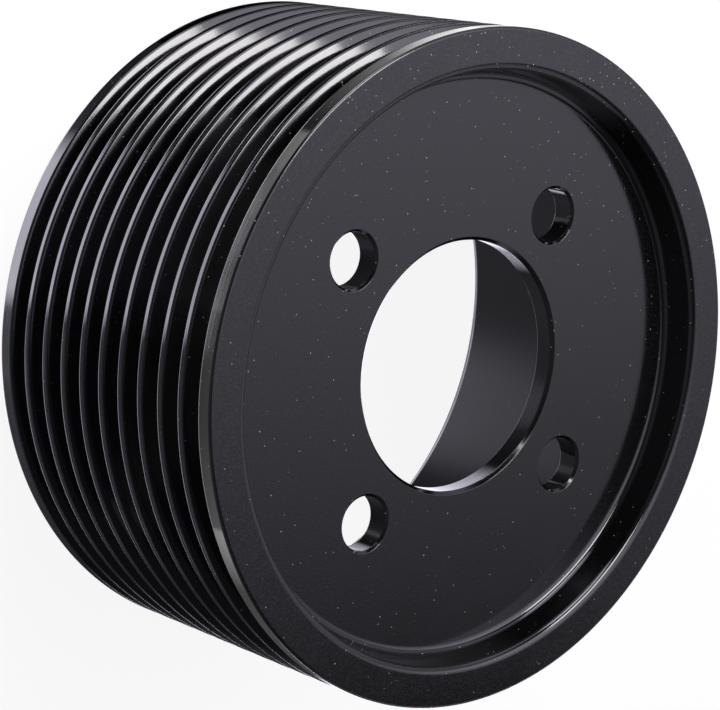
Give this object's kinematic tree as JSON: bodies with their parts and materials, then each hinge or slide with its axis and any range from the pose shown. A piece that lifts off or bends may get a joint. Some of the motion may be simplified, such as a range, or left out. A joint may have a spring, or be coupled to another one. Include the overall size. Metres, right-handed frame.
{
  "type": "ribbed belt pulley",
  "caption": "Hollow turned aluminium pulley with V grooves for a ribbed belt, a web recessed behind the front rim, a centre bore and a ring of bolt holes.",
  "frame": {"origin": "on the axis, in the plane of the open rear rim that the pulley stands on", "axes": "+Z along the axis, from the open rear rim to the recessed front face; +X and +Y lie between the bolt holes"},
  "size_m": [0.0762, 0.0762, 0.0388],
  "materials": {
    "black_anodised": "black anodised, satin"
  },
  "bodies": {
    "root": {"pulley": "black_anodised"}
  },
  "joints": []
}
